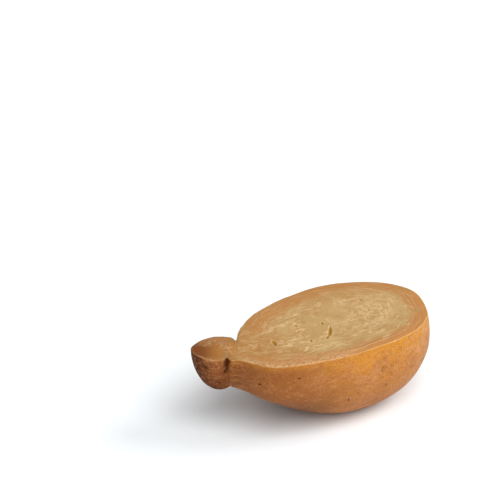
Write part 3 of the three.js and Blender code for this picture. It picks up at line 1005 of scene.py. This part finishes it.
def paste_finish(colours):
    """The cut face: warm, creamy paste that browns towards the neck, with flaky streaks along the
    flow, a darker ring under the rind with fine lines and an orange strip, a dried head, a pale
    cut edge, partly a painted highlight along the near rim, that crumbles where it is ragged,
    dark specks, and painted shade inside the slits and cracks."""
    r = Recipe("paste")
    x, y = r.xy()
    along, rim, near, flow = (r.mask(name) for name in ("along", "rim", "near", "flow"))
    ring, torn, ragged = (r.mask(name) for name in ("ring", "torn", "ragged"))
    clouds = r.noise(17, 3)
    patches = r.noise(6, 3, 0.6)
    wander = flow + clouds * 8
    streaks = r.noise((x / 18, y / 14, wander / 1.8), 3, 0.6)
    threads = r.noise((x / 13, y / 9, wander), 3, 0.62)
    layering = r.noise((along / 30, rim / 1.3), 3, 0.65)
    fine = r.noise(1.3, 3, 0.6)
    crumb = r.noise(1.9, 3, 0.7)

    neck = along.step(112, 42) * patches.step(0.2, 0.6)
    far_end = near.step(0.2, -0.7) * along.step(110, 180)
    near_side = near.step(0, 0.5)
    near_ring = near_side * along.step(42, 64)
    banded = near_side * along.step(72, 105)
    lined = layering.step(0.54, 0.62) * ring * along.step(60, 100)
    inner = rim + clouds * 6 - 3
    strip = inner.step(7, 5.6) * banded * (layering.step(0.4, 0.6) * 0.4 + 0.4)
    lip = r.sum("ABSOLUTE", inner - 6.8).step(0.8, 0.3) * banded * fine.step(0.4, 0.58)
    lip = lip * (along + patches * 60).step(195, 170)
    tint = r.layers(
        colours.paste,
        (colours.paste_warm, clouds.step(0.35, 0.65)),
        (colours.neck, neck * 0.8),
        (colours.ring, far_end * 0.4),
        (colours.ring, ring * 0.85),
        (colours.ring_near, ring * near_ring * 0.9),
        (colours.paste_warm, streaks.step(0.46, 0.38) * 0.5),
        (colours.ring_line, lined * 0.5),
        (colours.neck, layering.step(0.46, 0.38) * ring * 0.2),
        (colours.ring_edge, strip),
        (colours.flake, lip * 0.6),
    )

    dried = (along + patches * 16).step(37, 29) * (rim + patches * 5).step(3, 5)
    dried = dried * (near - patches * 1.6).step(-1.5, -0.92)
    core = r.mix(along.step(7, 25), colours.head, colours.neck)
    pale_head = along.step(34, 24) * patches.step(0.36, 0.56)
    calm = (1 - ring * 0.6) * (along.step(26, 46) * 0.75 + 0.25)
    behind_neck = along.step(135, 85) * along.step(48, 76)
    thread = (torn * 0.6 + 0.3 + behind_neck * 0.45) * calm * threads.step(0.57, 0.64)
    flaked = r.mask("flakes") * fine.step(0.42, 0.56) * (along.step(20, 40) * 0.65 + 0.35)
    dusty = pale_head * along.step(4, 16) * crumb.step(0.51, 0.6)
    tint = r.layers(
        tint,
        (colours.neck, along.step(42, 30) * 0.75),
        (colours.head_pale, pale_head * 0.8),
        (colours.flake, streaks.step(0.56, 0.64) * calm * 0.3),
        (colours.flake, thread * 0.75),
        (colours.flake, patches.step(0.5, 0.62) * torn * 0.35),
        (colours.flake, flaked * 0.8),
        (colours.rim_cream, dusty * 0.6),
        (colours.neck, pale_head * crumb.step(0.45, 0.37) * 0.6),
        (core, dried * 0.92),
        (colours.head, along.step(8, 2) * 0.75),
    )

    lumpy = r.noise(3.6, 3, 0.65)
    whole = r.sum("MAXIMUM", along.step(90, 150) * 0.6 + 0.2, lumpy.step(0.42, 0.56))
    # A pale line along the near rim: partly the cut edge's own colour, partly a painted highlight
    # where it faces the lights.
    edge = rim + fine * 0.8 + along.step(40, 28) * 0.45
    line = edge.step(1.5, 0.9) * (along.step(28, 42) * 0.5 + 0.5)
    line = line * near.step(-0.6, 0.2) * whole * (1 - ragged * 0.4)
    speckled = (rim + lumpy * 20 - 10).step(18, 9) * near_ring * along.step(125, 85)
    crumbly = (rim + lumpy * 24).step(17, 13.5) * ragged * (along.step(28, 40) * 0.6 + 0.4)
    specks = r.spots(3.4, 0.36, 0.2) * (torn * 0.8 + 0.3)
    tint = r.layers(
        tint,
        # The pale near rim line, partly painted highlight.
        (colours.rim, line * 0.8),
        (colours.rim_cream, speckled * crumb.step(0.52, 0.6) * 0.3),
        (colours.neck, speckled * crumb.step(0.45, 0.37) * 0.5),
        (colours.ring_near, crumbly * fine.step(0.62, 0.5) * 0.6),
        (colours.rim_cream, crumbly * crumb.step(0.46, 0.56) * 0.65),
        (colours.neck, crumbly * crumb.step(0.43, 0.35) * 0.65),
        # Dark specks, then painted shade inside the slits and cracks.
        (colours.crevice, specks.step(0.1, 0.5)),
        (colours.crevice, r.mask("opened").step(0.15, 0.6)),
    )

    return r.surface({
        "Base Color": tint,
        "Roughness": fine * 0.22 + 0.46,
        "Specular IOR Level": 0.2,
        "Subsurface Weight": 0.1,
        "Subsurface Radius": (1, 0.5, 0.2),
        "Subsurface Scale": 0.002,
        "Normal": r.bump((streaks, 0.5), (threads, 0.4), (fine, 0.12)),
    })


def rind_finish(colours):
    """The rind: dull orange tan, browner towards the neck, partly as painted shade on the side
    turned from the lights, with painted shade low on the belly, partly a pinker tone, and under
    the neck and head, a bright band below the rim, golden and worn patches, a broken pale film,
    fine mottling, a dark and creased head, painted shade in the string groove, just behind it and
    in the pits, and the pale edge of the cut, partly a painted highlight along the near rim."""
    r = Recipe("rind")
    along, rim, near, groove = (r.mask(name) for name in ("along", "rim", "near", "groove"))
    clouds = r.noise(20, 4, 0.55)
    mottle = r.noise(5.5, 4, 0.6)
    skin = r.noise(2, 3, 0.65)
    fine = r.noise(0.9, 3, 0.6)
    lines = r.noise((15, 3, 1.2), 3, 0.6)
    head = along.step(35, 29)

    uneven = clouds * 60 - 30
    # Browner towards the neck: partly the rind's own colour, partly painted shade on the side
    # turned from the lights.
    neck_brown_and_shade = (along + uneven).step(128, 44)
    # Painted shade underneath: low on the belly's far part, where it is partly a pinker tone, and
    # under the neck.
    low = (rim + uneven).step(22, 58) * 0.7 * along.step(80, 120)
    underside_shade = rim.step(29, 56) * along.step(112, 75)
    brown = clouds.step(0.5, 0.75) * (rim.step(10, 30) * 0.3 + 0.1)
    band = (rim + uneven).step(22, 4) * along.step(55, 105)
    low_side = (rim + mottle * 9).step(12, 6) * along.step(100, 60)
    patches = r.noise(8, 3, 0.6)
    to_end = along.step(60, 150)
    gold = (patches + r.mask("golden") * 0.28).step(0.62, 0.74) * to_end
    pinker = r.mask("worn") * mottle.step(0.38, 0.6)
    veil = r.noise((13, 6, 4.5), 4, 0.65)
    veil = (veil + r.mask("worn") * 0.22).step(0.57, 0.68) * (to_end * 0.65 + 0.35)
    dapple = r.noise((5.5, 4.5, 3.6), 4, 0.7)
    grainy = r.noise(1.4, 2, 0.55)
    dark_grains = grainy.step(0.46, 0.36) * (to_end * 0.24 + 0.14)
    grains = grainy.step(0.54, 0.64) * (mottle.step(0.52, 0.42) * 0.25 + 0.1)
    grains = grains * (to_end * 1.7 + 0.3)
    flecks = r.noise((2.8, 2.4, 1.8), 3, 0.65).step(0.55, 0.62) * (veil * 0.6 + 0.25)
    webs = r.noise((2.1, 2.3, 3.6), 3, 0.65).step(0.52, 0.6) * along.step(150, 190)
    pale = r.spots(2, 0.3, 0.5).step(0.1, 0.7) * mottle.step(0.38, 0.55)
    tint = r.layers(
        colours.rind,
        # Browning and painted shade towards the neck, then painted shade low on the belly and
        # under the neck.
        (colours.rind_neck, neck_brown_and_shade * 0.85),
        (colours.rind_pink, low),
        (colours.head_rind, underside_shade * 0.7),
        (colours.rind_brown, brown),
        (colours.rind_bright, band * 0.8),
        (colours.rind_bright, low_side * 0.4),
        (colours.rind_gold, gold * 0.5),
        (colours.rind_pink, pinker * 0.6),
        (colours.rind_veil, veil * 0.5),
        (colours.rind_brown, lines.step(0.54, 0.64) * 0.25),
        (colours.rind_brown, mottle.step(0.54, 0.66) * 0.15),
        (colours.rind_pink, skin.step(0.54, 0.62) * 0.35),
        (colours.rind_gold, dapple.step(0.47, 0.39) * to_end * 0.4),
        (colours.rind_veil, dapple.step(0.53, 0.61) * to_end * 0.35),
        (colours.rind_brown, dark_grains),
        (colours.rind_veil, grains),
        (colours.rim, flecks * 0.42),
        (colours.rim, webs * 0.4),
        (colours.rim, pale * 0.4),
    )

    dabs = r.noise(2.6, 3, 0.6)
    creases = r.noise((7, 7, 1.25), 3, 0.6)
    neckward = (along + mottle * 14 - 7).step(6, 20)
    base = r.mix(neckward, colours.head_rind, colours.rind_brown)
    upper = (rim + mottle * 20 - 10).step(26, 10) * neckward
    paler = neckward * 0.1 + 0.22
    # Painted shade down the head's underside.
    lower_head_shade = (rim + mottle * 16 - 8).step(16, 30)
    dark = dabs.step(0.55, 0.63) * (0.8 - neckward * 0.4)
    under_rim = (rim + mottle * 8).step(8.5, 4.5) * along.step(6, 16)
    # Just behind the string groove, darkened as painted shade beside it.
    beside = along.step(34, 36.5) * along.step(50, 38)
    head_tint = r.layers(
        base,
        (colours.rind_brown, mottle.step(0.48, 0.6) * 0.5),
        (colours.rind_pink, upper * 0.25),
        (colours.rind_veil, creases.step(0.47, 0.38) * paler),
        (colours.head_rind, creases.step(0.54, 0.62) * 0.4),
        (colours.rind_veil, dabs.step(0.45, 0.37) * paler),
        # Painted shade down the head's underside.
        (colours.head_rind, lower_head_shade * 0.55),
        (colours.groove, dark),
        (colours.rind, under_rim * 0.35),
    )
    tint = r.layers(
        tint,
        # Painted shade and creases just behind the string groove, then the head.
        (colours.head_rind, beside * 0.35),
        (colours.head_rind, beside * creases.step(0.53, 0.62) * 0.5),
        (colours.rind_veil, beside * creases.step(0.47, 0.38) * 0.35),
        (head_tint, head),
    )

    # A pale edge along the near rim's cut: partly the cut rind's own colour, partly a painted
    # highlight where the edge faces the lights.
    cut = (rim + fine * 0.6).step(1.1, 0.55) * near.step(-0.6, 0.2)
    cut = cut * (along.step(90, 150) * 0.45 + 0.2)
    torn_edge = (rim + dabs * 3 - 1.5).step(1.5, 0.9) * r.mask("ragged")
    tint = r.layers(
        tint,
        # Painted shade in the string groove and in the pits.
        (colours.groove, (groove + dabs * 1.2 - 0.6).step(0.2, 0.9) * 0.95),
        (colours.pit, r.mask("opened").step(0.2, 0.7) * 0.92),
        (colours.rim, cut),
        (colours.rim_cream, torn_edge * 0.4),
    )

    return r.surface({
        "Base Color": tint,
        "Roughness": mottle * 0.3 + 0.34 + head * 0.25,
        "Specular IOR Level": 0.1,
        "Subsurface Weight": 0.06,
        "Subsurface Radius": (1, 0.4, 0.15),
        "Subsurface Scale": 0.002,
        "Normal": r.bump((mottle, 0.4), (lines, 0.16), (creases * head, 0.8), (dabs * head, 0.8),
                         (skin, 0.25), (fine, 0.12)),
    })


def floor_finish(brightness):
    """A plain pale studio floor."""
    return Recipe("studio_floor").surface({
        "Base Color": [brightness * part for part in FLOOR_TINT],
        "Roughness": 0.9,
        "Specular IOR Level": 0.0,
    })


def shown(mesh, *materials):
    """An object of the mesh, in the scene, with its materials."""
    for material in materials:
        mesh.materials.append(material)
    piece = bpy.data.objects.new(mesh.name, mesh)
    bpy.context.scene.collection.objects.link(piece)
    return piece


# ---- operators and panel


class CACIO_OT_half(bpy.types.Operator):
    """Make the halved cheese: one closed skin with rind and cut face"""

    bl_idname = "cacio.half"
    bl_label = "Halved cheese"

    def execute(self, context):
        """Builds the skin from the scene's sizes, gives it its finishes and hands it over."""
        sizes, colours = context.scene.cacio_sizes, context.scene.cacio_colours
        m = measured(sizes)
        rings, tips, finishes = cheese_skin(m, sizes)
        if not np.isfinite(rings).all():
            raise ValueError("These sizes don't give a closed skin")
        mesh = skin_mesh("caciocavallo_half", rings, tips, finishes, sizes.rind_rows)
        piece = shown(mesh, rind_finish(colours), paste_finish(colours))
        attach(piece, "root")
        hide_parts(SOLID)
        return {"FINISHED"}


class CACIO_OT_studio(bpy.types.Operator):
    """Make the floor, the lights and the camera"""

    bl_idname = "cacio.studio"
    bl_label = "Studio"

    def execute(self, context):
        """Lays the floor, hangs two suns in white surroundings and aims the camera. Each stands
        at an azimuth and elevation: (sin a cos e, -cos a cos e, sin e) from what it faces."""
        studio, scene = context.scene.cacio_studio, context.scene
        corners = [(-1, -1, 0), (1, -1, 0), (1, 1, 0), (-1, 1, 0)]
        mesh = bpy.data.meshes.new("studio_floor")
        mesh.from_pydata([FLOOR_HALF * Vector(corner) for corner in corners], [], [(0, 1, 2, 3)])
        shown(mesh, floor_finish(studio.floor))

        for title in ("key", "side"):
            light = bpy.data.lights.new(title, "SUN")
            light.energy = getattr(studio, title + "_strength")
            light.angle = getattr(studio, title + "_width")
            lamp = bpy.data.objects.new(title, light)
            elevation = getattr(studio, title + "_elevation")
            lamp.rotation_euler = (math.pi / 2 - elevation, 0, getattr(studio, title + "_azimuth"))
            scene.collection.objects.link(lamp)

        scene.world = bpy.data.worlds.new("surroundings")
        scene.world.use_nodes = True
        sky = scene.world.node_tree.nodes["Background"]
        sky.inputs["Color"].default_value = (1, 1, 1, 1)
        sky.inputs["Strength"].default_value = studio.sky_strength
        scene.view_settings.view_transform = "Standard"

        camera = bpy.data.cameras.new("camera")
        camera.lens = studio.lens
        scene.camera = bpy.data.objects.new("camera", camera)
        azimuth, elevation = studio.view_azimuth, studio.view_elevation
        back = Vector((math.sin(azimuth) * math.cos(elevation),
                       -math.cos(azimuth) * math.cos(elevation), math.sin(elevation)))
        scene.camera.location = SOLID_CENTRE + AIM + back * studio.view_distance
        scene.camera.rotation_euler = (math.pi / 2 - elevation, 0, azimuth)
        scene.collection.objects.link(scene.camera)
        return {"FINISHED"}


class CACIO_PT_panel(bpy.types.Panel):
    """The cheese's sizes, colours and operators"""

    bl_idname = "CACIO_PT_panel"
    bl_label = "Caciocavallo"
    bl_space_type = "VIEW_3D"
    bl_region_type = "UI"
    bl_category = "Caciocavallo"

    def draw(self, context):
        """A button for each operator, and a box with each group's properties."""
        for operator in OPERATORS:
            self.layout.operator(operator.bl_idname)
        for title in GROUPS:
            group = getattr(context.scene, title)
            box = self.layout.box()
            for name in group.__annotations__:
                box.prop(group, name)


GROUPS = {
    "cacio_sizes": CheeseSizes,
    "cacio_colours": CheeseColours,
    "cacio_studio": StudioSettings,
}
OPERATORS = (CACIO_OT_half, CACIO_OT_studio)


CLASSES = (*GROUPS.values(), *OPERATORS, CACIO_PT_panel)


def register():
    """Adds the classes, and the groups to the scene."""
    for cls in CLASSES:
        bpy.utils.register_class(cls)
    for title, group in GROUPS.items():
        setattr(bpy.types.Scene, title, PointerProperty(type=group))


def unregister():
    """Takes the groups and the classes away again."""
    for title in GROUPS:
        delattr(bpy.types.Scene, title)
    for cls in reversed(CLASSES):
        bpy.utils.unregister_class(cls)


def main():
    register()
    bpy.ops.cacio.half()
    bpy.ops.cacio.studio()


if __name__ == "__main__":
    main()
